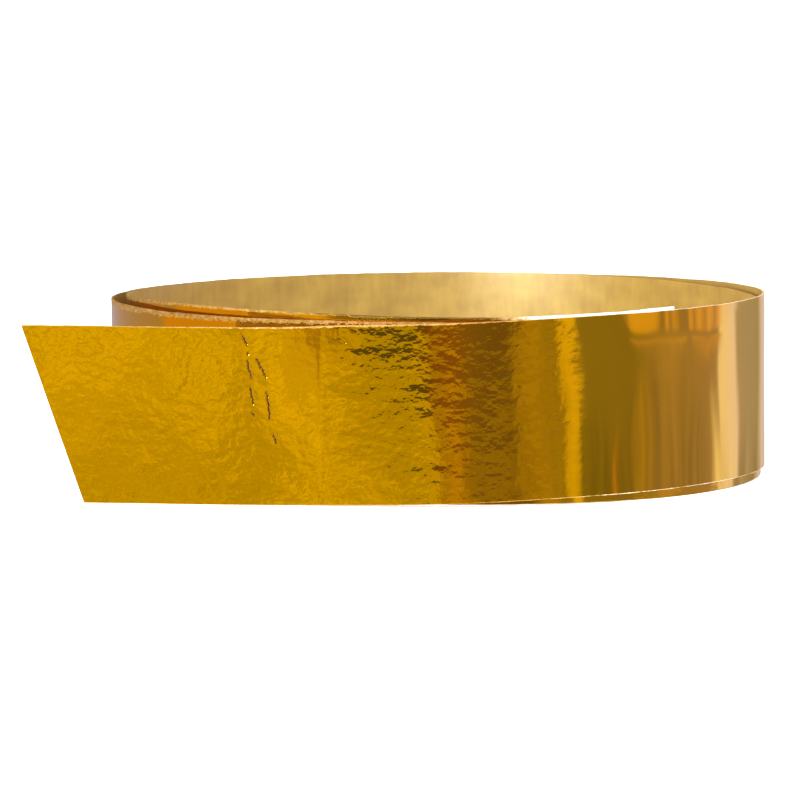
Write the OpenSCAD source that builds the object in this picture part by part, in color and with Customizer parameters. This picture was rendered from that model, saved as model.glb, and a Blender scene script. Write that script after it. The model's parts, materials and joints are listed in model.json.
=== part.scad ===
// A short strip of self-adhesive mirror vinyl, wound into a loose coil with no core and standing on
// edge. The strip is a laminate of three layers: mirror film, adhesive coat and release liner. Each
// layer is divided where the strip flexes. The coil is a spiral of half turns: each half turn is a
// circular arc whose centre lies on the line from left to right through the coil, so neighbouring
// arcs meet square to that line, without a kink.

/* [Strip] */
// Width of the strip, which is the height of the coil
strip_w = 25; // [12:1:50]
// Thickness of the mirror film
film_t = 0.10; // [0.08:0.01:0.20]
// Thickness of the adhesive coat
adhesive_t = 0.05; // [0.04:0.01:0.10]
// Thickness of the release liner
liner_t = 0.15; // [0.10:0.01:0.25]

/* [Coil] */
// Radius of the outer turn, to its outer face
coil_r = 47.4; // [40:0.1:80]
// Clear gap between the two turns at the left
gap_left = 1.8; // [0.8:0.1:3]
// Clear gap between the two turns at the right
gap_right = 0.3; // [0.25:0.05:0.6]
// Clear gap between the crossover and the outer turn at the front
gap_front = 0.3; // [0.25:0.05:0.6]
// Clear gap that the inner turn would have at the right, if it ran on past its end
gap_inner = 0.4; // [0.3:0.05:1]
// Direction of the inner end, from the coil's middle
inner_end_at = -44; // [-60:1:-30]
// Length of the springy inner end, as an angle
inner_end_arc = 26; // [15:1:35]

/* [Tail] */
// Angle that the coil turns on past its front before the strip runs straight
tail_turn = 5; // [0:0.5:10]
// Length of the tail's top edge, from where the strip runs straight
tail_l = 52.3; // [52:0.1:75]
// How far the bottom corner of the cut stands back from the top corner
cut_slant = 7.9; // [0:0.1:10]
// Distance along the tail to its first flex line
flex_first = 11; // [9:0.5:11]
// Distance between flex lines of the tail
flex_pitch = 13; // [11:0.5:13]
// Length of film that stays down between the last flex line and the peel line
peel_setback = 3.5; // [3:0.5:4]
// Clear gap at each flex line
flex_gap = 0.4; // [0.3:0.05:0.5]

/* [Hidden] */

$fn = 180;
FILM_COLOUR = [0.85, 0.62, 0.05];
ADHESIVE_COLOUR = [0.93, 0.88, 0.72];
LINER_COLOUR = [0.86, 0.70, 0.38];

// A layer is the depth of its outer side below the strip's outer face, and its thickness.
FILM = [0, film_t];
ADHESIVE = [film_t, adhesive_t];
LINER = [film_t + adhesive_t, liner_t];
strip_t = film_t + adhesive_t + liner_t;

// Where the strip's outer face crosses the line from left to right, from the outside in.
outer_left = -coil_r;
outer_right = coil_r;
inner_left = outer_left + strip_t + gap_left;
inner_right = outer_right - strip_t - gap_right;
end_right = inner_right - strip_t - gap_inner;

// An arc is its centre along that line, and the radius of its outer face.
function half_turn(left, right) = [(left + right) / 2, (right - left) / 2];
OUTER_BACK = half_turn(outer_left, outer_right);
CROSSOVER = half_turn(outer_left, inner_right);
INNER_BACK = half_turn(inner_left, inner_right);
INNER_FRONT = half_turn(inner_left, end_right);
front_r = CROSSOVER[1] + strip_t + gap_front;
OUTER_FRONT = [outer_right - front_r, front_r];

// Places along the tail, measured to the right from where the strip runs straight.
flex_1 = -flex_first;
flex_2 = flex_1 - flex_pitch;
flex_3 = flex_2 - flex_pitch;
peel_line = flex_3 - peel_setback;
half_gap = flex_gap / 2;
// The springy inner end starts at a flex line, with the gap as an angle.
inner_flex_at = inner_end_at - inner_end_arc;
gap_arc = flex_gap / INNER_FRONT[1] * 180 / PI;

// The origin is the middle of the whole strip's footprint, on the surface that it stands on.
tail_reach = tail_l * cos(tail_turn) + front_r * sin(tail_turn) - OUTER_FRONT[0];
middle_x = (tail_reach - coil_r) / 2;
middle_y = (front_r - coil_r) / 2;

// One layer of an arc of the strip, from one direction to another.
module bent(arc, layer, from, to) {
    translate([arc[0], 0, 0])
        rotate([0, 0, from])
            rotate_extrude(angle = to - from)
                translate([arc[1] - layer[0] - layer[1], 0])
                    square([layer[1], strip_w]);
}

// Turns the tail to its direction, about the middle of the outer turn's front arc.
module along_tail() {
    translate([OUTER_FRONT[0], 0, 0])
        rotate([0, 0, -tail_turn])
            translate([0, -front_r, 0])
                children();
}

// One layer of the straight tail, between two places.
module straight(layer, left, right) {
    along_tail()
        translate([left, layer[0], 0])
            cube([right - left, layer[1], strip_w]);
}

// One layer of the straight tail, from a place to the slanted cut.
module cut_end(layer, right) {
    along_tail()
        translate([0, layer[0] + layer[1], 0])
            rotate([90, 0, 0])
                linear_extrude(layer[1])
                    polygon([
                        [right, 0], [right, strip_w],
                        [-tail_l, strip_w], [cut_slant - tail_l, 0]
                    ]);
}

// Moves the coil's middle to its place beside the origin.
module placed() {
    translate([middle_x, middle_y, 0]) children();
}

module outer_turn(layer) {
    placed() union() {
        bent(OUTER_BACK, layer, 0, 180);
        bent(OUTER_FRONT, layer, -90 - tail_turn, 0);
        straight(layer, flex_1 + half_gap, 0);
    }
}

module crossover(layer) {
    placed() bent(CROSSOVER, layer, -180, 0);
}

module inner_turn(layer) {
    placed() union() {
        bent(INNER_BACK, layer, 0, 180);
        bent(INNER_FRONT, layer, -180, inner_flex_at);
    }
}

module inner_end(layer) {
    placed() bent(INNER_FRONT, layer, inner_flex_at + gap_arc, inner_end_at);
}

module tail_root(layer) {
    placed() straight(layer, flex_2 + half_gap, flex_1 - half_gap);
}

module tail_middle(layer) {
    placed() straight(layer, flex_3 + half_gap, flex_2 - half_gap);
}

// The film and its adhesive stop at the peel line; the liner runs on to the cut.
module tail_tip(layer) {
    placed() straight(layer, peel_line, flex_3 - half_gap);
}

module tail_tip_liner() {
    placed() cut_end(LINER, flex_3 - half_gap);
}

module peel_tab(layer) {
    placed() cut_end(layer, peel_line);
}

module film_outer_turn() { color(FILM_COLOUR) outer_turn(FILM); }
module adhesive_outer_turn() { color(ADHESIVE_COLOUR) outer_turn(ADHESIVE); }
module liner_outer_turn() { color(LINER_COLOUR) outer_turn(LINER); }
module film_crossover() { color(FILM_COLOUR) crossover(FILM); }
module adhesive_crossover() { color(ADHESIVE_COLOUR) crossover(ADHESIVE); }
module liner_crossover() { color(LINER_COLOUR) crossover(LINER); }
module film_inner_turn() { color(FILM_COLOUR) inner_turn(FILM); }
module adhesive_inner_turn() { color(ADHESIVE_COLOUR) inner_turn(ADHESIVE); }
module liner_inner_turn() { color(LINER_COLOUR) inner_turn(LINER); }
module film_inner_end() { color(FILM_COLOUR) inner_end(FILM); }
module adhesive_inner_end() { color(ADHESIVE_COLOUR) inner_end(ADHESIVE); }
module liner_inner_end() { color(LINER_COLOUR) inner_end(LINER); }
module film_tail_root() { color(FILM_COLOUR) tail_root(FILM); }
module adhesive_tail_root() { color(ADHESIVE_COLOUR) tail_root(ADHESIVE); }
module liner_tail_root() { color(LINER_COLOUR) tail_root(LINER); }
module film_tail_middle() { color(FILM_COLOUR) tail_middle(FILM); }
module adhesive_tail_middle() { color(ADHESIVE_COLOUR) tail_middle(ADHESIVE); }
module liner_tail_middle() { color(LINER_COLOUR) tail_middle(LINER); }
module film_tail_tip() { color(FILM_COLOUR) tail_tip(FILM); }
module adhesive_tail_tip() { color(ADHESIVE_COLOUR) tail_tip(ADHESIVE); }
module liner_tail_tip() { color(LINER_COLOUR) tail_tip_liner(); }
module film_peel_tab() { color(FILM_COLOUR) peel_tab(FILM); }
module adhesive_peel_tab() { color(ADHESIVE_COLOUR) peel_tab(ADHESIVE); }

film_outer_turn();
adhesive_outer_turn();
liner_outer_turn();
film_crossover();
adhesive_crossover();
liner_crossover();
film_inner_turn();
adhesive_inner_turn();
liner_inner_turn();
film_inner_end();
adhesive_inner_end();
liner_inner_end();
film_tail_root();
adhesive_tail_root();
liner_tail_root();
film_tail_middle();
adhesive_tail_middle();
liner_tail_middle();
film_tail_tip();
adhesive_tail_tip();
liner_tail_tip();
film_peel_tab();
adhesive_peel_tab();
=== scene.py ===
"""The looks of a short strip of mirror-gold self-adhesive vinyl, wound in a loose coil and standing on edge.

The strip is one continuous laminate of mirror film, adhesive coat and release liner. Each layer is built as
a few long thin solids. They share one path, one waviness and one set of edges, so they meet without a step.
"""

import json
import math

import bpy
import numpy as np
from mathutils import Matrix, Vector


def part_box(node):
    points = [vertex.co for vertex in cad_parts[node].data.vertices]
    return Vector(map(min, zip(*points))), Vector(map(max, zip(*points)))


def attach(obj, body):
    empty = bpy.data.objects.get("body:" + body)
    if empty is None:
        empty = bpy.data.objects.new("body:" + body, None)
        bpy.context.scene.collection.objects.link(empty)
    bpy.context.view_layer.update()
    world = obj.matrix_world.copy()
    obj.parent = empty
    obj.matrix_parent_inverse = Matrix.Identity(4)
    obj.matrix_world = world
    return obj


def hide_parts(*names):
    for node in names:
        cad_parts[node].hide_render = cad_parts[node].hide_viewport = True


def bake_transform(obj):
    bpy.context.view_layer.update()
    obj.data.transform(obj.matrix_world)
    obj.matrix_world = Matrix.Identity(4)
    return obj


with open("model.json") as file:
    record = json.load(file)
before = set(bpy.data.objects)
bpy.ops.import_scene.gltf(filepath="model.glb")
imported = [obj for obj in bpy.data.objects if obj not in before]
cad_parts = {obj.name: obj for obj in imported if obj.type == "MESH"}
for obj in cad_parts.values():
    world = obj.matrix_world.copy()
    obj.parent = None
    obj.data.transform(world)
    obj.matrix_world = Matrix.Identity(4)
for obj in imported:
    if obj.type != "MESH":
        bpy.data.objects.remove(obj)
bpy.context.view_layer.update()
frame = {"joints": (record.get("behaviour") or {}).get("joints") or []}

MM = 0.001

# ---------------------------------------------------------------- the strip's path, from the frame

outer_lo, outer_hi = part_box("film_outer_turn")
cross_lo, cross_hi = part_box("film_crossover")
inner_lo, inner_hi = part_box("film_inner_turn")
end_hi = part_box("film_inner_end")[1]
tab_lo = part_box("film_peel_tab")[0]
hinges = {joint["name"]: Vector(joint["pos_m"]) for joint in frame["joints"] if "pos_m" in joint}

coil_x = (outer_lo.x + outer_hi.x) / 2
coil_r = (outer_hi.x - outer_lo.x) / 2
coil_y = outer_hi.y - coil_r
strip_w = outer_hi.z
film_t = outer_hi.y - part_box("adhesive_outer_turn")[1].y
adhesive_t = outer_hi.y - film_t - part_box("liner_outer_turn")[1].y
liner_t = 0.15 * MM
# How far each layer's two faces lie below the outer face.
LAYERS = {
    "film": (0.0, film_t),
    "adhesive": (film_t, film_t + adhesive_t),
    "liner": (film_t + adhesive_t, film_t + adhesive_t + liner_t),
}

front_r = coil_y - outer_lo.y
inner_front_r = coil_y - inner_lo.y
inner_front_x = inner_lo.x + inner_front_r
end_turn = math.degrees(math.acos((end_hi.x - inner_front_x) / inner_front_r))
tail_line = hinges["tail_bend"] - hinges["tail_bend_tip"]
tail_turn = math.degrees(math.atan2(-tail_line.y, tail_line.x))

# Each arc: where it starts and ends, in degrees turned clockwise from the coil's right, then its centre's x
# and its radius.
ARCS = [
    (end_turn, 180, inner_front_x, inner_front_r),
    (180, 360, (inner_lo.x + inner_hi.x) / 2, (inner_hi.x - inner_lo.x) / 2),
    (360, 540, (cross_lo.x + cross_hi.x) / 2, (cross_hi.x - cross_lo.x) / 2),
    (540, 720, coil_x, coil_r),
    (720, 810 + tail_turn, outer_hi.x - front_r, front_r),
]
arc_lengths = [math.radians(to - start) * radius for start, to, _, radius in ARCS]
arc_starts = np.concatenate([[0], np.cumsum(arc_lengths)])
tail_start = arc_starts[-1]
tail_angle = math.radians(-(810 + tail_turn))
tail_origin = Vector((
    ARCS[-1][2] + front_r * math.cos(tail_angle),
    coil_y + front_r * math.sin(tail_angle),
    0,
))
tail_length = (tail_origin.x - tab_lo.x) / math.cos(math.radians(tail_turn))


def at_turn(degrees):
    """The place along the strip, in metres from its inner end, that has turned this far round the coil."""
    for (start, to, _, radius), begin in zip(ARCS, arc_starts):
        if degrees <= to:
            return begin + math.radians(degrees - start) * radius
    return tail_start


def on_tail(distance_mm):
    """The place along the strip that is this far out on the straight tail."""
    return tail_start + distance_mm * MM


def path(s):
    """Points on the strip's outer face and the outward directions there, for places s along the strip."""
    s = np.asarray(s, float)
    x, y, nx, ny = (np.zeros_like(s) for _ in range(4))
    which = np.clip(np.searchsorted(arc_starts, s, side="right") - 1, 0, len(ARCS))
    for k, (start, _, centre, radius) in enumerate(ARCS):
        here = which == k
        angle = -(math.radians(start) + (s[here] - arc_starts[k]) / radius)
        nx[here], ny[here] = np.cos(angle), np.sin(angle)
        x[here], y[here] = centre + radius * nx[here], coil_y + radius * ny[here]
    here = which == len(ARCS)
    nx[here], ny[here] = math.cos(tail_angle), math.sin(tail_angle)
    x[here] = tail_origin.x + math.sin(tail_angle) * (s[here] - tail_start)
    y[here] = tail_origin.y - math.cos(tail_angle) * (s[here] - tail_start)
    return x, y, nx, ny


# ---------------------------------------------------------------- how the real strip leaves the ideal path

def curve(x, knots):
    """A smooth curve through (place, value) knots, level before the first and after the last."""
    places, values = (np.array(column, float) for column in zip(*knots))
    slopes = np.gradient(values, places)
    slopes[0] = slopes[-1] = 0
    x = np.clip(x, places[0], places[-1])
    k = np.clip(np.searchsorted(places, x, side="right") - 1, 0, len(places) - 2)
    width = places[k + 1] - places[k]
    t = (x - places[k]) / width
    rest = 1 - t
    return (
        values[k] * (1 + 2 * t) * rest**2
        + slopes[k] * width * t * rest**2
        + values[k + 1] * t**2 * (3 - 2 * t)
        - slopes[k + 1] * width * t**2 * rest
    )


# How far the strip has slipped up along the coil's axis, in millimetres: the turns are slightly telescoped.
SLIP = [
    (at_turn(end_turn), 0.45), (at_turn(58), 0.2), (at_turn(78), 0.0), (at_turn(115), 0.6),
    (at_turn(150), 0.95), (at_turn(185), 0.5), (at_turn(300), 0.3), (at_turn(360), -0.7),
    (at_turn(400), -1.05), (at_turn(430), -0.8), (at_turn(455), -0.45), (at_turn(500), -0.2),
    (at_turn(520), 0.0), (at_turn(545), 0.05), (at_turn(560), 0.1), (at_turn(590), 0.15),
    (at_turn(630), 0.25), (at_turn(765), 0.22), (at_turn(790), -0.06), (at_turn(810), -0.48),
    (on_tail(14), -0.65), (on_tail(52), -0.4),
]
# How far the strip leans back from upright, in degrees: the front and the free tail lean forward.
LEAN = [
    (at_turn(720), 0), (at_turn(800), -3.2), (on_tail(6), -5), (on_tail(18), -7.8),
    (on_tail(32), -8.8), (on_tail(52), -8),
]
# How far the coil is out of round, in millimetres outwards: it bulges a little at its sides.
BULGE = [
    (at_turn(100), 0), (at_turn(180), -0.1), (at_turn(270), 0), (at_turn(360), 0.4),
    (at_turn(450), 0), (at_turn(540), -0.15), (at_turn(630), 0), (at_turn(720), 0.4),
    (at_turn(790), 0),
]
# How far the strip's middle stands out from its edges, in millimetres, where it isn't held by another turn.
CUP = [(at_turn(790), 0.0), (on_tail(12), 0.10), (on_tail(52), 0.16)]
# How far the top edge curls back, in millimetres, and over what height.
CURL = [
    (at_turn(end_turn), 0.03), (at_turn(690), 0.03), (at_turn(720), 0.055), (at_turn(780), 0.055),
    (at_turn(796), 0.0),
]
CURL_HEIGHT = 4.5
# How strong the orange peel is, from 0 to 1: strongest where the strip was handled.
PEEL = [
    (at_turn(700), 0.2), (at_turn(787), 0.22), (at_turn(797), 0.9), (on_tail(8), 1.0),
    (on_tail(52), 1.0),
]
# A faint upright crease on the tail: its place and half width on the tail, its depth, in millimetres.
CREASE = (10.9, 0.4, 0.03)
# The dashes of two broken cracks in the tail's film: places along the tail and up from its lower edge, in
# millimetres.
CRACKS = [
    [(21.9, 24.1), (21.2, 22.7)],
    [(21.1, 21.5), (21.1, 21.3)],
    [(21.2, 20.4), (21.0, 19.1), (20.6, 18.0)],
    [(20.9, 16.6), (20.5, 14.3)],
    [(20.7, 13.2), (20.4, 12.6)],
    [(19.9, 20.6), (18.7, 18.1)],
    [(18.7, 15.9), (18.4, 13.9), (18.3, 12.2)],
    [(17.9, 10.1), (17.5, 8.8)],
]
CRACK_HALF_WIDTH = 0.12
CRACK_DEPTH = 0.06
# Further than any crack is wide, in millimetres.
FAR_OFF = 9.0
# The telescoped coil rests on the lowest places of its lower edge, so it is tipped: its right side is up and
# its back is down. The angles are in radians.
TIP_RIGHT = 0.0086
TIP_FRONT = 0.0093
RAISED = 0.46 * MM
STANCE = (
    Matrix.Translation((coil_x, coil_y, RAISED))
    @ Matrix.Rotation(-TIP_RIGHT, 4, "Y")
    @ Matrix.Rotation(-TIP_FRONT, 4, "X")
    @ Matrix.Translation((-coil_x, -coil_y, 0))
)
# Waves that the strip has picked up in handling: length along the strip and across it, height, phase.
WAVES = [
    (31.0, 90.0, 0.030, 0.4), (17.3, 41.0, 0.014, 1.9), (11.1, -23.0, 0.007, 3.1), (7.3, 19.0, 0.003, 5.2),
    (5.1, -37.0, 0.0016, 0.9),
]


def waviness(s, v):
    """Height of the handling waves, in metres."""
    height = np.zeros(np.broadcast(s, v).shape)
    for along, across, size, phase in WAVES:
        height += size * MM * np.sin(2 * np.pi * (s / (along * MM) + v / (across * MM)) + phase)
    return height


def cut_jitter(s, phase):
    """The small unevenness of a slit edge, in metres."""
    wander = np.sin(s / (2.9 * MM) + phase) + np.sin(s / (1.31 * MM) + 2.3 * phase) * 0.7
    return 0.016 * MM * (wander + np.sin(s / (0.61 * MM) + 4.1 * phase) * 0.8)


def crack_depth(s, v):
    """How deep the cracks are, from 0 to 1, deepest along their middle."""
    d, up = (s - tail_start) / MM, v / MM
    d = d + 0.05 * np.sin(up * 5.0 + d) + 0.03 * np.sin(up * 19.0)
    nearest = np.full(np.broadcast(d, up).shape, FAR_OFF)
    for points in CRACKS:
        for (d0, up0), (d1, up1) in zip(points, points[1:]):
            length = math.hypot(d1 - d0, up1 - up0)
            share = ((d - d0) * (d1 - d0) + (up - up0) * (up1 - up0)) / length**2
            share = np.clip(share, 0, 1)
            distance = np.hypot(d - d0 - share * (d1 - d0), up - up0 - share * (up1 - up0))
            nearest = np.minimum(nearest, distance)
    return np.clip(1.3 - nearest / CRACK_HALF_WIDTH, 0, 1)


def relief(s, v):
    """How far the strip's face stands out from its ideal path, in metres."""
    d, share = (s - tail_start) / MM, v / strip_w
    crease_at, crease_width, crease_size = CREASE
    cup = curve(s, CUP) * (1 - (2 * share - 1) ** 2)
    curled = np.clip(1 - (strip_w - v) / (CURL_HEIGHT * MM), 0, None) ** 2 * curve(s, CURL)
    crease = crease_size * np.exp(-(((d - crease_at) / crease_width) ** 2))
    return waviness(s, v) + (curve(s, BULGE) + cup - curled - crease) * MM


def place(s, v, depth):
    """Where the strip's material lies: s along it, v up from its lower edge, depth below its outer face."""
    x, y, nx, ny = path(s)
    lean = np.radians(curve(s, LEAN))
    out = relief(s, v) - depth
    back = v * np.sin(lean) - out * np.cos(lean)
    up = v * np.cos(lean) + out * np.sin(lean) + curve(s, SLIP) * MM
    upright = np.stack([x - nx * back, y - ny * back, up], axis=-1)
    stance = np.array(STANCE)
    return upright @ stance[:3, :3].T + stance[:3, 3]


def directions(s, v, depth, cracked):
    """Outward unit directions of the strip's faces."""
    step = 0.05 * MM

    def surface(s, v):
        return place(s, v, depth + (crack_depth(s, v) * CRACK_DEPTH * MM if cracked else 0.0))

    along = surface(s + step, v) - surface(s - step, v)
    across = surface(s, v + step) - surface(s, v - step)
    normal = np.cross(across, along)
    return normal / np.linalg.norm(normal, axis=-1, keepdims=True)


# How wide the band of edge colour is along the film's upper edge, in millimetres: worn film along most of the
# strip, and over the inner end a painted white highlight and painted reflection.
WEAR_AND_HIGHLIGHT = [
    (at_turn(end_turn), 1.2), (at_turn(68), 1.2), (at_turn(76), 0.5), (at_turn(105), 0.25),
    (at_turn(140), 0.28), (at_turn(165), 0.42), (at_turn(195), 0.30), (at_turn(230), 0.06),
    (at_turn(430), 0.08), (at_turn(455), 0.30), (at_turn(500), 0.55), (at_turn(530), 0.55),
    (at_turn(560), 0.14), (at_turn(600), 0.05), (at_turn(790), 0.03), (at_turn(806), 0.12),
    (on_tail(5), 0.18), (on_tail(16), 0.17), (on_tail(24), 0.08), (on_tail(52), 0.04),
]
# How pale the strip's edges are: 0 is brown, 0.6 is tan, 1 is white. The values past 1 at the inner end are a
# painted white highlight, and the darkest values, round the back, are painted shade; elsewhere it is the
# edges' own tone.
EDGE_TONE_AND_PAINTED_LIGHT = [
    (at_turn(end_turn), 1.5), (at_turn(70), 1.5), (at_turn(78), 0.36), (at_turn(120), 0.26),
    (at_turn(165), 0.08), (at_turn(190), 0.06), (at_turn(430), 0.12), (at_turn(470), 0.24),
    (at_turn(500), 0.10), (at_turn(560), 0.05), (at_turn(720), 0.40), (at_turn(785), 0.60),
    (at_turn(797), 0.20), (at_turn(808), 0.22), (on_tail(18), 0.26), (on_tail(28), 0.24),
    (on_tail(52), 0.20),
]

# ---------------------------------------------------------------- meshes

# The meshes' steps along and across the strip. The fine ones are for the cracked film.
COARSE_STEP = 0.7 * MM
FINE_STEP = 0.12 * MM
COARSE_ROWS = 0.7 * MM
FINE_ROWS = 0.2 * MM
# How far the slanted cut stands back at the strip's lower edge.
CUT_SLANT = 7.9 * MM
CRACK_MARGIN = 0.4
cracked_from = on_tail(min(d for points in CRACKS for d, _ in points) - CRACK_MARGIN)
cracked_to = on_tail(max(d for points in CRACKS for d, _ in points) + CRACK_MARGIN)


def rows_across(step):
    """Places across the strip, from its lower edge to its upper edge, closer together at the edges."""
    edge = np.array([0, 0.05, 0.12, 0.22, 0.35, 0.55, 0.8, 1.2]) * MM
    middle = np.arange(1.2 * MM + step, strip_w - 1.2 * MM - step / 2, step)
    return np.concatenate([edge, middle, strip_w - edge[::-1]])


def steps_along(start, end):
    """Shares of the way between two places along the strip, closer together where the film is cracked."""
    marks = [start] + [m for m in (cracked_from, cracked_to) if start < m < end] + [end]
    runs = []
    for first, last in zip(marks, marks[1:]):
        fine = cracked_from <= (first + last) / 2 <= cracked_to
        count = max(2, math.ceil((last - first) / (FINE_STEP if fine else COARSE_STEP)))
        runs.append(np.linspace(first, last, count, endpoint=False))
    return (np.concatenate(runs + [[end]]) - start) / (end - start)


def strip_mesh(name, layer, start, end, inset=0.0, cut=False):
    """A closed thin solid of one layer between two places along the strip. With cut, it ends slanted."""
    top, bottom = LAYERS[layer]
    fraction = steps_along(start, end)[:, None]
    cracked = layer == "film" and start < cracked_to and end > cracked_from
    rows = rows_across(FINE_ROWS if cracked else COARSE_ROWS)[None, :]
    finish_line = np.full_like(rows, end)
    if cut:
        finish_line = finish_line - CUT_SLANT * (1 - rows / strip_w)
    s = start + (finish_line - start) * fraction
    share = rows / strip_w
    low = inset + cut_jitter(s, 0.3)
    high = strip_w - inset + cut_jitter(s, 1.7)
    v = low + (high - low) * share
    shape = v.shape
    crack_mark = crack_depth(s, v) if cracked else np.zeros(shape)
    outer = place(s, v, top + crack_mark * CRACK_DEPTH * MM)
    inner = place(s, v, np.full(shape, bottom))
    n = shape[0] * shape[1]
    points = np.concatenate([outer.reshape(-1, 3), inner.reshape(-1, 3)])

    index = np.arange(n).reshape(shape)
    quads = np.stack([index[:-1, :-1], index[1:, :-1], index[1:, 1:], index[:-1, 1:]], axis=-1).reshape(-1, 4)
    faces = [quads[:, ::-1], quads + n]
    borders = [index[:, 0], index[-1, :], index[::-1, -1], index[0, ::-1]]
    rim = np.concatenate([np.stack([b[:-1], b[1:], b[1:] + n, b[:-1] + n], axis=-1) for b in borders])
    faces.append(rim)
    faces = np.concatenate(faces)

    mesh = bpy.data.meshes.new(name)
    mesh.vertices.add(len(points))
    mesh.vertices.foreach_set("co", points.astype(np.float32).ravel())
    mesh.loops.add(faces.size)
    mesh.loops.foreach_set("vertex_index", faces.astype(np.int32).ravel())
    mesh.polygons.add(len(faces))
    mesh.polygons.foreach_set("loop_start", np.arange(0, faces.size, 4, dtype=np.int32))
    material_index = np.zeros(len(faces), np.int32)
    material_index[2 * len(quads):] = 1
    mesh.polygons.foreach_set("material_index", material_index)
    mesh.polygons.foreach_set("use_smooth", material_index == 0)
    mesh.update(calc_edges=True)

    for attribute, values in (
        ("crack_mark", crack_mark), ("wear_and_highlight", curve(s, WEAR_AND_HIGHLIGHT)), ("edge_tone_and_painted_light", curve(s, EDGE_TONE_AND_PAINTED_LIGHT)), ("peel", curve(s, PEEL)),
    ):
        mesh.attributes.new(attribute, "FLOAT", "POINT").data.foreach_set(
            "value", np.tile(np.asarray(values, np.float32).ravel(), 2))
    where = mesh.attributes.new("strip_place", "FLOAT_VECTOR", "POINT")
    depth = np.concatenate([np.full(n, top), np.full(n, bottom)])
    where.data.foreach_set("vector", np.stack(
        [np.tile(s.ravel(), 2), np.tile(v.ravel(), 2), depth], axis=-1).astype(np.float32).ravel())

    normals = directions(s, v, top, cracked).reshape(-1, 3)
    corner_normals = np.empty((faces.size, 3))
    corner_normals[:quads.size] = normals[quads[:, ::-1].ravel()]
    corner_normals[quads.size:2 * quads.size] = -normals[quads.ravel()]
    rim_points = points[rim]
    rim_normals = np.cross(rim_points[:, 2] - rim_points[:, 0], rim_points[:, 3] - rim_points[:, 1])
    rim_normals /= np.maximum(np.linalg.norm(rim_normals, axis=1, keepdims=True), 1e-12)
    corner_normals[2 * quads.size:] = np.repeat(rim_normals, 4, axis=0)
    mesh.normals_split_custom_set(corner_normals.tolist())
    piece = bpy.data.objects.new(name, mesh)
    bpy.context.scene.collection.objects.link(piece)
    return piece


# ---------------------------------------------------------------- materials

def new_material(name):
    material = bpy.data.materials.new(name)
    material.use_nodes = True
    nodes, links = material.node_tree.nodes, material.node_tree.links
    nodes.clear()
    output = nodes.new("ShaderNodeOutputMaterial")
    shader = nodes.new("ShaderNodeBsdfPrincipled")
    links.new(shader.outputs["BSDF"], output.inputs["Surface"])
    return material, nodes, links, shader


def strip_place_mm(nodes, links):
    """The place along, across and below the strip's face, in millimetres."""
    where = nodes.new("ShaderNodeAttribute")
    where.attribute_name = "strip_place"
    scale = nodes.new("ShaderNodeVectorMath")
    scale.operation = "SCALE"
    scale.inputs["Scale"].default_value = 1 / MM
    links.new(where.outputs["Vector"], scale.inputs[0])
    return scale.outputs["Vector"]


def noise(nodes, links, where, stretch, scale, detail=2.0, roughness=0.5):
    """Noise in the strip's own millimetres, with a different scale along and across it."""
    mapping = nodes.new("ShaderNodeMapping")
    mapping.inputs["Scale"].default_value = (*stretch, 1.0)
    texture = nodes.new("ShaderNodeTexNoise")
    texture.inputs["Scale"].default_value = scale
    texture.inputs["Detail"].default_value = detail
    texture.inputs["Roughness"].default_value = roughness
    links.new(where, mapping.inputs["Vector"])
    links.new(mapping.outputs["Vector"], texture.inputs["Vector"])
    return texture.outputs["Fac"]


def math_node(nodes, links, operation, *values):
    node = nodes.new("ShaderNodeMath")
    node.operation = operation
    for socket, value in zip(node.inputs, values):
        if isinstance(value, (int, float)):
            socket.default_value = value
        else:
            links.new(value, socket)
    return node.outputs["Value"]


def ramp(nodes, links, value, stops):
    """A colour ramp; each stop is a position and a colour or a grey level."""
    node = nodes.new("ShaderNodeValToRGB")
    elements = node.color_ramp.elements
    while len(elements) < len(stops):
        elements.new(1.0)
    for element, (position, colour) in zip(elements, stops):
        element.position = position
        colour = (colour,) * 3 if isinstance(colour, (int, float)) else colour
        element.color = (*colour, 1.0)
    links.new(value, node.inputs["Fac"])
    return node.outputs["Color"]


def mix_colour(nodes, links, factor, first, second):
    node = nodes.new("ShaderNodeMix")
    node.data_type = "RGBA"
    for socket, value in ((node.inputs["Factor"], factor), (node.inputs[6], first), (node.inputs[7], second)):
        if isinstance(value, (int, float)):
            socket.default_value = value
        elif isinstance(value, tuple):
            socket.default_value = (*value, 1.0)
        else:
            links.new(value, socket)
    return node.outputs[2]


def bump(nodes, links, height, distance_mm, strength=1.0, under=None):
    node = nodes.new("ShaderNodeBump")
    if isinstance(strength, float):
        node.inputs["Strength"].default_value = strength
    else:
        links.new(strength, node.inputs["Strength"])
    node.inputs["Distance"].default_value = distance_mm * MM
    links.new(height, node.inputs["Height"])
    if under is not None:
        links.new(under, node.inputs["Normal"])
    return node.outputs["Normal"]


GOLD = (0.80, 0.40, 0.030)
GOLD_DEEP = (0.76, 0.37, 0.026)
CRACK_BROWN = (0.030, 0.011, 0.001)
EDGE_COLOURS = [
    (0.0, (0.14, 0.065, 0.014)), (0.25, (0.36, 0.19, 0.045)), (0.6, (0.68, 0.47, 0.24)),
    (1.0, (1.0, 0.97, 0.92)),
]


def attribute_value(nodes, name):
    node = nodes.new("ShaderNodeAttribute")
    node.attribute_name = name
    return node.outputs["Fac"]


def edge_colour(nodes, links, where):
    """The strip's worn or slit edge: fibrous, from brown to white, as pale as its place on the strip asks,
    which holds a painted white highlight at the inner end and painted shade round the back.
    """
    fibres = noise(nodes, links, where, (1.0, 1.0), 1.5, detail=6.0, roughness=0.75)
    fibres = math_node(nodes, links, "MULTIPLY_ADD", fibres, 1.6, -0.8)
    spread = math_node(nodes, links, "MULTIPLY_ADD", fibres, 0.7, attribute_value(nodes, "edge_tone_and_painted_light"))
    return ramp(nodes, links, spread, EDGE_COLOURS)


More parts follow.
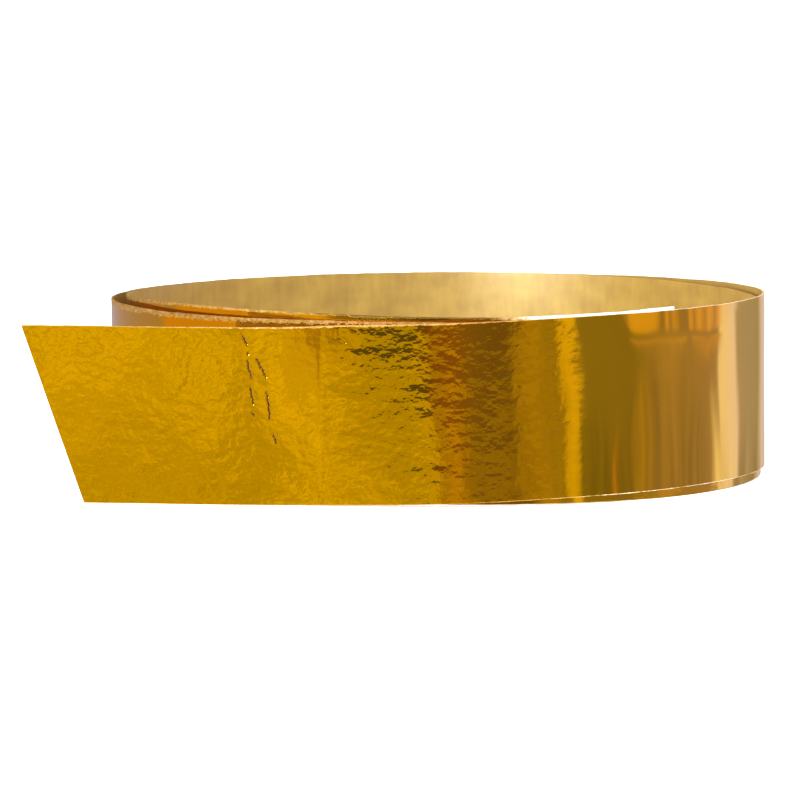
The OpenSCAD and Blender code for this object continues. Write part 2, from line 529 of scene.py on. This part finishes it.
def mirror_film_material():
    """Metallised film: a gold mirror with fine orange peel, worn pale along its slit edges, with a painted
    white highlight and painted reflection along the inner end's upper edge.
    """
    material, nodes, links, shader = new_material("mirror_film")
    where = strip_place_mm(nodes, links)
    split = nodes.new("ShaderNodeSeparateXYZ")
    links.new(where, split.inputs["Vector"])
    across = split.outputs["Y"]
    ragged = noise(nodes, links, where, (0.9, 1.6), 1.3, detail=6.0, roughness=0.7)
    ragged = math_node(nodes, links, "MULTIPLY_ADD", ragged, 4.6, -1.3)
    upper = math_node(nodes, links, "MULTIPLY", attribute_value(nodes, "wear_and_highlight"), ragged)
    from_top = math_node(nodes, links, "SUBTRACT", strip_w / MM, across)
    from_top = math_node(nodes, links, "SUBTRACT", from_top, upper)
    lower = math_node(nodes, links, "MULTIPLY", ragged, 0.05)
    from_bottom = math_node(nodes, links, "SUBTRACT", across, lower)
    nearest = math_node(nodes, links, "MINIMUM", from_top, from_bottom)
    nearest = math_node(nodes, links, "MULTIPLY_ADD", nearest, 5.0, 0.5)
    # the band along the upper edge: worn film, and over the inner end a painted highlight and painted
    # reflection
    worn_and_highlit = ramp(nodes, links, nearest, [(0.3, 1.0), (0.7, 0.0)])

    cloud = noise(nodes, links, where, (1.0, 1.0), 0.22, detail=3.0)
    gold = mix_colour(nodes, links, cloud, GOLD, GOLD_DEEP)
    # the cracks are coloured dark brown and are not metallic
    crack_mark = ramp(nodes, links, attribute_value(nodes, "crack_mark"), [(0.3, 0.0), (0.5, 1.0)])
    surface = mix_colour(nodes, links, crack_mark, gold, CRACK_BROWN)
    edge = edge_colour(nodes, links, where)
    links.new(mix_colour(nodes, links, worn_and_highlit, surface, edge), shader.inputs["Base Color"])
    dull = math_node(nodes, links, "MAXIMUM", worn_and_highlit, crack_mark)
    bright = math_node(nodes, links, "SUBTRACT", 1.0, dull)
    links.new(bright, shader.inputs["Metallic"])
    shader.inputs["Specular IOR Level"].default_value = 0.1
    smear = noise(nodes, links, where, (0.5, 1.5), 0.35, detail=4.0)
    gloss = math_node(nodes, links, "MULTIPLY_ADD", smear, 0.05, 0.03)
    links.new(math_node(nodes, links, "MULTIPLY_ADD", dull, 0.5, gloss), shader.inputs["Roughness"])

    # rare pinpricks in the film, among the orange peel
    prick = nodes.new("ShaderNodeTexVoronoi")
    prick.inputs["Scale"].default_value = 0.2
    links.new(where, prick.inputs["Vector"])
    depth = ramp(nodes, links, prick.outputs["Distance"], [(0.015, 0.0), (0.035, 1.0)])
    peel = noise(nodes, links, where, (0.95, 1.05), 0.75, detail=2.0, roughness=0.45)
    swell = noise(nodes, links, where, (0.7, 1.0), 0.22, detail=1.0)
    peel_strength = attribute_value(nodes, "peel")
    coarse = bump(nodes, links, swell, 0.06, strength=peel_strength)
    fine = bump(nodes, links, peel, 0.034, strength=peel_strength, under=coarse)
    pricked = bump(nodes, links, depth, 0.03, under=fine)
    links.new(pricked, shader.inputs["Normal"])
    return material


def cut_edge_material():
    """A slit edge: fuzzy and matt, with small nicks. Its colour holds the painted white highlight of the
    inner end and the painted shade round the back.
    """
    material, nodes, links, shader = new_material("cut_edge")
    where = strip_place_mm(nodes, links)
    links.new(edge_colour(nodes, links, where), shader.inputs["Base Color"])
    fibres = noise(nodes, links, where, (1.0, 1.0), 3.0, detail=4.0, roughness=0.7)
    links.new(bump(nodes, links, fibres, 0.04), shader.inputs["Normal"])
    shader.inputs["Roughness"].default_value = 0.8
    shader.inputs["Specular IOR Level"].default_value = 0.2
    return material


HONEY = [(0.36, (0.31, 0.18, 0.035)), (0.52, (0.37, 0.225, 0.045)), (0.68, (0.43, 0.27, 0.056))]


def liner_material():
    """Release liner: honey-coloured mottled paper under a satin silicone coat."""
    material, nodes, links, shader = new_material("release_liner")
    where = strip_place_mm(nodes, links)
    streaks = noise(nodes, links, where, (1.0, 0.25), 1.0, detail=3.0, roughness=0.6)
    blotches = noise(nodes, links, where, (0.6, 0.8), 0.35, detail=2.0, roughness=0.5)
    both = math_node(nodes, links, "MULTIPLY", blotches, 0.6)
    both = math_node(nodes, links, "MULTIPLY_ADD", streaks, 0.4, both)
    honey = ramp(nodes, links, both, HONEY)
    links.new(honey, shader.inputs["Base Color"])
    shader.inputs["Metallic"].default_value = 0.4
    shader.inputs["Roughness"].default_value = 0.38
    shader.inputs["Coat Weight"].default_value = 1.0
    shader.inputs["Coat IOR"].default_value = 1.8
    shader.inputs["Coat Roughness"].default_value = 0.30
    grain = noise(nodes, links, where, (1.0, 0.7), 1.6, detail=3.0)
    coarse = bump(nodes, links, blotches, 0.02)
    links.new(bump(nodes, links, grain, 0.012, under=coarse), shader.inputs["Normal"])
    return material


def adhesive_material():
    """Adhesive coat: cream and tacky, with faint coating streaks."""
    material, nodes, links, shader = new_material("adhesive")
    where = strip_place_mm(nodes, links)
    streaks = noise(nodes, links, where, (0.08, 1.0), 1.2, detail=3.0)
    cream = ramp(nodes, links, streaks, [(0.35, (0.78, 0.68, 0.46)), (0.65, (0.90, 0.83, 0.64))])
    links.new(cream, shader.inputs["Base Color"])
    links.new(bump(nodes, links, streaks, 0.02), shader.inputs["Normal"])
    shader.inputs["Roughness"].default_value = 0.38
    return material


CUT_EDGE = cut_edge_material()
MATERIALS = {
    "film": ("mirror_film", [mirror_film_material(), CUT_EDGE]),
    "adhesive": ("adhesive", [adhesive_material(), CUT_EDGE]),
    "liner": ("release_liner", [liner_material(), CUT_EDGE]),
}

# ---------------------------------------------------------------- pieces, two of which ride on bodies

INSET = {"film": 0.0, "adhesive": 0.05 * MM, "liner": 0.0}
peel_distance = (hinges["tail_bend_tip"] - hinges["film_peel"]).length / MM
flex_1 = (hinges["tail_bend"].xy - tail_origin.xy).length / MM
flex_pitch = tail_line.length / MM / 2
flex_2 = flex_1 + flex_pitch
flex_3 = flex_2 + flex_pitch
root_start = on_tail(flex_1 - flex_pitch / 2)
root_end = on_tail(flex_1 + flex_pitch / 2)
middle_start = on_tail(flex_2 - flex_pitch / 2)
middle_end = on_tail(flex_2 + flex_pitch / 2)
peel_line = flex_3 + peel_distance
PEEL_BLEND = 1.2
# The inner end's flex line: degrees from the strip's end, and half the width of the bend.
INNER_FLEX_TURN = 26
INNER_BLEND = 7 * MM
inner_flex = at_turn(end_turn + INNER_FLEX_TURN)
inner_end_to = at_turn(100)


def point_at(s):
    """The point on the ideal path at a place along the strip."""
    x, y, _, _ = path(np.array([s]))
    return (x[0], y[0], strip_w / 2)


def make_piece(layer, part, start, end, cut=False):
    """One layer of the strip between two places, with its materials, standing for its CAD node."""
    piece = strip_mesh(f"{layer}_strip_{part}", layer, start, end, inset=INSET[layer], cut=cut)
    slot, materials = MATERIALS[layer]
    for material in materials:
        piece.data.materials.append(material)
    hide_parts(f"{layer}_{part}")
    return piece


def bend(piece, start, end):
    point_at(start)
    point_at(end)
    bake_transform(piece)


for layer in LAYERS:
    # the inner end's flex line lies inside this piece; the next piece starts well past it
    end_piece = make_piece(layer, "inner_end", 0.0, inner_end_to)
    bend(end_piece, inner_flex + INNER_BLEND, inner_flex - INNER_BLEND)
    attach(make_piece(layer, "inner_turn", inner_end_to, at_turn(360)), "inner_turn")
    # the crossover runs from one turn to the other
    crossover = make_piece(layer, "crossover", at_turn(360), at_turn(540))
    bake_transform(crossover)
    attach(make_piece(layer, "outer_turn", at_turn(540), root_start), "coil")
    bend(make_piece(layer, "tail_root", root_start, root_end), root_start, root_end)
    middle = make_piece(layer, "tail_middle", root_end, middle_end)
    bend(middle, middle_start, middle_end)
    tip_ends = layer == "liner"
    seam = peel_line - PEEL_BLEND
    tip = make_piece(
        layer, "tail_tip", middle_end,
        tail_start + tail_length if tip_ends else on_tail(seam), cut=tip_ends,
    )
    bend(tip, on_tail(2 * flex_3 - seam), on_tail(seam))
    if not tip_ends:
        tab = make_piece(layer, "peel_tab", on_tail(seam), tail_start + tail_length, cut=True)
        bend(tab, on_tail(seam), on_tail(peel_line + PEEL_BLEND))


# ---------------------------------------------------------------- floor, light and camera

def floor():
    """A plain pale floor. The mirror doesn't show it, so that it shows the soft surroundings instead."""
    half = 6.0
    mesh = bpy.data.meshes.new("floor")
    corners = [(-half, -half, 0), (half, -half, 0), (half, half, 0), (-half, half, 0)]
    mesh.from_pydata(corners, [], [(0, 1, 2, 3)])
    plane = bpy.data.objects.new("floor", mesh)
    bpy.context.scene.collection.objects.link(plane)
    material, _, _, shader = new_material("floor")
    shader.inputs["Base Color"].default_value = (0.93, 0.93, 0.93, 1)
    shader.inputs["Roughness"].default_value = 0.9
    shader.inputs["Specular IOR Level"].default_value = 0.0
    shader.inputs["Emission Color"].default_value = (1, 1, 1, 1)
    shader.inputs["Emission Strength"].default_value = 0.5
    mesh.materials.append(material)
    plane.visible_glossy = False


# The surroundings that the mirror shows, as bands of light round the coil: degrees round from straight in
# front of it, and the colour there. One list is for the strip's own height, one for above and one for below.
LEVEL_BANDS = [
    (-180, (0.50, 0.45, 0.5)), (-113, (0.50, 0.44, 0.4)), (-109, (0.76, 0.50, 0.05)),
    (-78, (0.76, 0.52, 0.05)), (-70, (0.80, 0.71, 0.05)), (-42, (0.80, 0.70, 0.05)),
    (-36, (0.28, 0.29, 0.1)), (-18, (0.20, 0.21, 0.1)), (-3, (0.10, 0.115, 0.09)),
    (3, (0.13, 0.12, 0.08)), (6, (0.26, 0.14, 0.05)), (13, (0.28, 0.165, 0.05)),
    (18, (0.24, 0.19, 0.07)), (25, (0.20, 0.16, 0.08)), (33, (0.20, 0.17, 0.08)),
    (36.5, (0.47, 0.42, 0.06)), (42, (0.52, 0.46, 0.05)), (45, (0.36, 0.35, 0.08)),
    (49.5, (0.38, 0.36, 0.08)), (50.5, (0.93, 0.86, 0.05)), (54.0, (0.93, 0.86, 0.05)),
    (54.7, (0.32, 0.33, 0.12)), (72, (0.31, 0.31, 0.14)), (82, (0.38, 0.37, 0.3)),
    (90, (0.45, 0.42, 0.5)), (116.5, (0.44, 0.41, 0.6)), (118, (1.15, 1.35, 2.3)),
    (128, (1.05, 1.2, 2.3)), (130.5, (0.54, 0.58, 0.7)), (143, (0.48, 0.50, 0.4)),
    (152, (0.44, 0.42, 0.2)), (158, (0.78, 0.68, 0.6)),
]
UPPER_BANDS = [
    (-180, (0.5, 0.6, 0.5)), (-112, (0.5, 0.5, 0.4)), (-70, (0.80, 0.71, 0.3)),
    (-50, (0.9, 0.9, 0.6)), (-46, (9.4, 10.0, 8.0)), (-18, (9.4, 10.0, 8.0)),
    (-13, (0.2, 0.2, 0.2)), (40, (0.25, 0.23, 0.2)), (70, (0.40, 0.36, 0.2)),
    (72, (0.88, 0.72, 0.2)), (84, (0.85, 0.66, 0.2)), (85, (0.40, 0.36, 0.3)),
    (87.5, (0.40, 0.36, 0.3)), (88.5, (0.95, 0.72, 0.4)), (90, (0.42, 0.38, 0.4)),
    (92, (0.9, 0.7, 0.4)), (93.5, (0.42, 0.38, 0.4)), (99, (0.42, 0.38, 0.5)),
    (100, (0.95, 0.75, 0.5)), (103, (0.5, 0.42, 0.5)), (105, (1.0, 0.78, 0.5)),
    (108, (0.55, 0.45, 0.5)), (110, (1.0, 0.8, 0.6)), (114, (0.6, 0.5, 0.6)),
    (117, (1.05, 0.85, 0.9)), (119, (1.1, 1.25, 2.2)), (129, (1.0, 1.15, 2.2)),
    (132, (0.55, 0.6, 0.8)), (152, (0.46, 0.44, 0.3)), (158, (0.78, 0.68, 0.6)),
]
LOWER_BANDS = [
    (-180, (0.5, 0.5, 0.6)), (-60, (0.8, 0.75, 0.1)), (-10, (0.85, 0.84, 0.01)),
    (-5, (0.68, 0.67, 0.01)), (0, (0.88, 0.87, 0.01)), (3, (0.84, 0.80, 0.02)),
    (7, (0.58, 0.50, 0.04)), (12, (0.78, 0.60, 0.04)), (15, (0.66, 0.54, 0.04)),
    (20, (0.46, 0.41, 0.05)), (31, (0.42, 0.37, 0.06)), (38, (0.58, 0.51, 0.05)),
    (45, (0.60, 0.53, 0.05)), (49.5, (0.42, 0.40, 0.06)), (50.3, (0.95, 0.88, 0.05)),
    (54.0, (0.95, 0.88, 0.05)), (54.7, (0.33, 0.34, 0.12)), (66.4, (0.31, 0.32, 0.13)),
    (67, (0.78, 0.55, 0.1)), (68.4, (0.74, 0.52, 0.1)), (69, (0.30, 0.30, 0.15)),
    (74, (0.31, 0.30, 0.18)), (75, (0.60, 0.54, 0.2)), (79, (0.54, 0.48, 0.3)),
    (83, (0.47, 0.44, 0.5)), (111, (0.46, 0.44, 0.6)), (113.5, (1.3, 1.5, 2.4)),
    (127.5, (1.2, 1.4, 2.4)), (130.5, (0.56, 0.60, 0.7)), (152, (0.48, 0.46, 0.2)),
    (158, (0.85, 0.75, 0.65)),
]
# Where one list gives way to the next: degrees round, and degrees below the horizon.
LOWER_SPLIT = [
    (-180, 11.2), (3, 11.2), (8, 10.9), (21, 11.3), (28, 10.6), (43, 9.5), (49, 8.3), (55, 8.1),
    (60, 7.6), (72, 7.4), (76, 6.8), (84, 5.9), (180, 5.9),
]
UPPER_SPLIT = [
    (-180, 3.2), (-75, 3.2), (-65, 0.0), (-5, 0.0), (5, 3.2), (68, 3.2), (71, 4.7), (85, 4.5),
    (105, 4.1), (120, 4.3), (126, 3.2),
]
# How far the bands lean round the coil, in degrees, by degrees below the horizon.
BAND_LEAN = [(7.0, 0.0), (8.2, 3.2), (9.0, 3.5)]
# How the bands are tipped with the coil, in radians.
BAND_TIP = (-0.0035, -0.0021, 0)
# A ledge of light just under the highest bands.
LEDGE = [(71, 0), (72, 1), (97, 1), (98.5, 0), (100, 0), (101.5, 1), (118, 1), (120, 0)]
LEDGE_COLOUR = (0.72, 0.58, 0.45)
LEDGE_AT = [(-180, 5.6), (71, 5.6), (85, 5.45), (94, 5.2), (105, 4.8), (118, 4.9)]
# How bright the lower bands are, by degrees below the horizon.
DIMMING = [
    (8, 0.86), (10, 0.74), (14, 0.76), (16, 0.90), (17.5, 1.0), (20, 0.98), (22, 0.90), (24, 0.80),
    (27, 0.72),
]
# How far down the ramps of BAND_LEAN and DIMMING reach, in degrees below the horizon.
DEEPEST = 40


def surroundings():
    """Soft studio surroundings: bright and dark upright bands, seen only in the reflections."""
    world = bpy.data.worlds.new("studio")
    bpy.context.scene.world = world
    world.use_nodes = True
    nodes, links = world.node_tree.nodes, world.node_tree.links
    nodes.clear()
    output = nodes.new("ShaderNodeOutputWorld")
    coordinates = nodes.new("ShaderNodeTexCoord")
    tip = nodes.new("ShaderNodeMapping")
    tip.inputs["Rotation"].default_value = BAND_TIP
    links.new(coordinates.outputs["Generated"], tip.inputs["Vector"])
    split = nodes.new("ShaderNodeSeparateXYZ")
    links.new(tip.outputs["Vector"], split.inputs["Vector"])
    x, y, z = (split.outputs[axis] for axis in "XYZ")
    azimuth = math_node(nodes, links, "ARCTAN2", x, math_node(nodes, links, "MULTIPLY", y, -1.0))
    turn = math_node(nodes, links, "MULTIPLY_ADD", azimuth, 1 / (2 * math.pi), 0.5)
    below = math_node(nodes, links, "MULTIPLY", math_node(nodes, links, "ARCSINE", z), -180 / math.pi)

    def patches(scale, low, high):
        texture = nodes.new("ShaderNodeTexNoise")
        texture.inputs["Scale"].default_value = scale
        texture.inputs["Detail"].default_value = 2.0
        links.new(coordinates.outputs["Generated"], texture.inputs["Vector"])
        return math_node(nodes, links, "MULTIPLY_ADD", texture.outputs["Fac"], high - low, low)

    below = math_node(nodes, links, "ADD", below, patches(18.0, -0.15, 0.15))
    depth = math_node(nodes, links, "MULTIPLY", below, 1 / DEEPEST)
    lean = ramp(nodes, links, depth, [(height / DEEPEST, degrees / 360) for height, degrees in BAND_LEAN])
    turn = math_node(nodes, links, "ADD", turn, lean)

    def bands(stops):
        return ramp(nodes, links, turn, [(degrees / 360 + 0.5, level) for degrees, level in stops])

    def past(edge, width):
        """0 above a height and 1 below it, in degrees below the horizon, over a soft width."""
        share = math_node(nodes, links, "SUBTRACT", below, edge)
        share = math_node(nodes, links, "MULTIPLY_ADD", share, 1 / width, 0.5)
        return ramp(nodes, links, share, [(0.0, 0.0), (1.0, 1.0)])

    dimming = ramp(nodes, links, depth, [(height / DEEPEST, share) for height, share in DIMMING])
    dimming = math_node(nodes, links, "MULTIPLY", dimming, patches(24.0, 0.5, 1.5))
    lower = nodes.new("ShaderNodeVectorMath")
    lower.operation = "SCALE"
    links.new(bands(LOWER_BANDS), lower.inputs[0])
    links.new(dimming, lower.inputs["Scale"])
    past_split = past(bands(LOWER_SPLIT), 0.8)
    level = mix_colour(nodes, links, past_split, bands(LEVEL_BANDS), lower.outputs["Vector"])
    from_ledge = math_node(nodes, links, "SUBTRACT", below, bands(LEDGE_AT))
    from_ledge = math_node(nodes, links, "ABSOLUTE", from_ledge)
    ledge = ramp(nodes, links, from_ledge, [(0.14, 1.0), (0.22, 0.0)])
    ledge = math_node(nodes, links, "MULTIPLY", ledge, bands(LEDGE))
    level = mix_colour(nodes, links, ledge, level, LEDGE_COLOUR)
    level = mix_colour(nodes, links, past(bands(UPPER_SPLIT), 0.3), bands(UPPER_BANDS), level)
    level = mix_colour(nodes, links, past(-35.0, 30.0), (1.05, 1.05, 1.05), level)

    def background(colour):
        node = nodes.new("ShaderNodeBackground")
        if isinstance(colour, tuple):
            node.inputs["Color"].default_value = (*colour, 1)
        else:
            links.new(colour, node.inputs["Color"])
        return node.outputs["Background"]

    def choose(question, no, yes):
        switch = nodes.new("ShaderNodeMixShader")
        links.new(question, switch.inputs["Fac"])
        links.new(no, switch.inputs[1])
        links.new(yes, switch.inputs[2])
        return switch.outputs["Shader"]

    ray = nodes.new("ShaderNodeLightPath")
    seen = choose(ray.outputs["Is Diffuse Ray"], background(level), background((0.8, 0.8, 0.8)))
    seen = choose(ray.outputs["Is Camera Ray"], seen, background((1.0, 1.0, 1.0)))
    links.new(seen, output.inputs["Surface"])


def soft_light(name, azimuth, elevation, distance, size, watts):
    """A square soft light aimed at the coil, from degrees round from the front and degrees up."""
    light = bpy.data.lights.new(name, "AREA")
    light.shape = "SQUARE"
    light.size = size
    light.energy = watts
    lamp = bpy.data.objects.new(name, light)
    a, e = math.radians(azimuth), math.radians(elevation)
    towards = Vector((math.sin(a) * math.cos(e), -math.cos(a) * math.cos(e), math.sin(e)))
    lamp.location = Vector((coil_x, coil_y, 0)) + towards * distance
    lamp.rotation_euler = towards.to_track_quat("Z", "Y").to_euler()
    lamp.visible_camera = False
    bpy.context.scene.collection.objects.link(lamp)


# The camera's place in metres, its lens in millimetres, and its turns in radians.
CAMERA_DISTANCE = 0.758
CAMERA_HEIGHT = 0.077
LENS = 234.5
AIM_LEFT = 0.00701
AIM_DOWN = 0.00347
ROLL = -0.0047


def camera():
    """A long lens a little above the coil, tipped with it, and aimed a little below the coil's middle."""
    data = bpy.data.cameras.new("camera")
    data.sensor_width = 36
    data.lens = LENS
    data.clip_start, data.clip_end = 0.05, 50
    eye = bpy.data.objects.new("camera", data)
    pitch = (CAMERA_HEIGHT - strip_w / 2) / CAMERA_DISTANCE
    stand = Matrix.Translation((coil_x, coil_y - CAMERA_DISTANCE, CAMERA_HEIGHT))
    look = Matrix.Rotation(math.pi / 2 - pitch, 4, "X") @ Matrix.Rotation(ROLL, 4, "Z")
    aim = Matrix.Rotation(AIM_LEFT, 4, "Y") @ Matrix.Rotation(-AIM_DOWN, 4, "X")
    eye.matrix_world = STANCE @ stand @ look @ aim
    bpy.context.scene.collection.objects.link(eye)
    bpy.context.scene.camera = eye


floor()
surroundings()
soft_light("key", azimuth=-27, elevation=38, distance=0.9, size=0.35, watts=9)
soft_light("fill", azimuth=60, elevation=55, distance=1.1, size=0.8, watts=6)
soft_light("back", azimuth=170, elevation=42, distance=1.0, size=0.6, watts=3)
camera()
bpy.context.scene.view_settings.view_transform = "Standard"
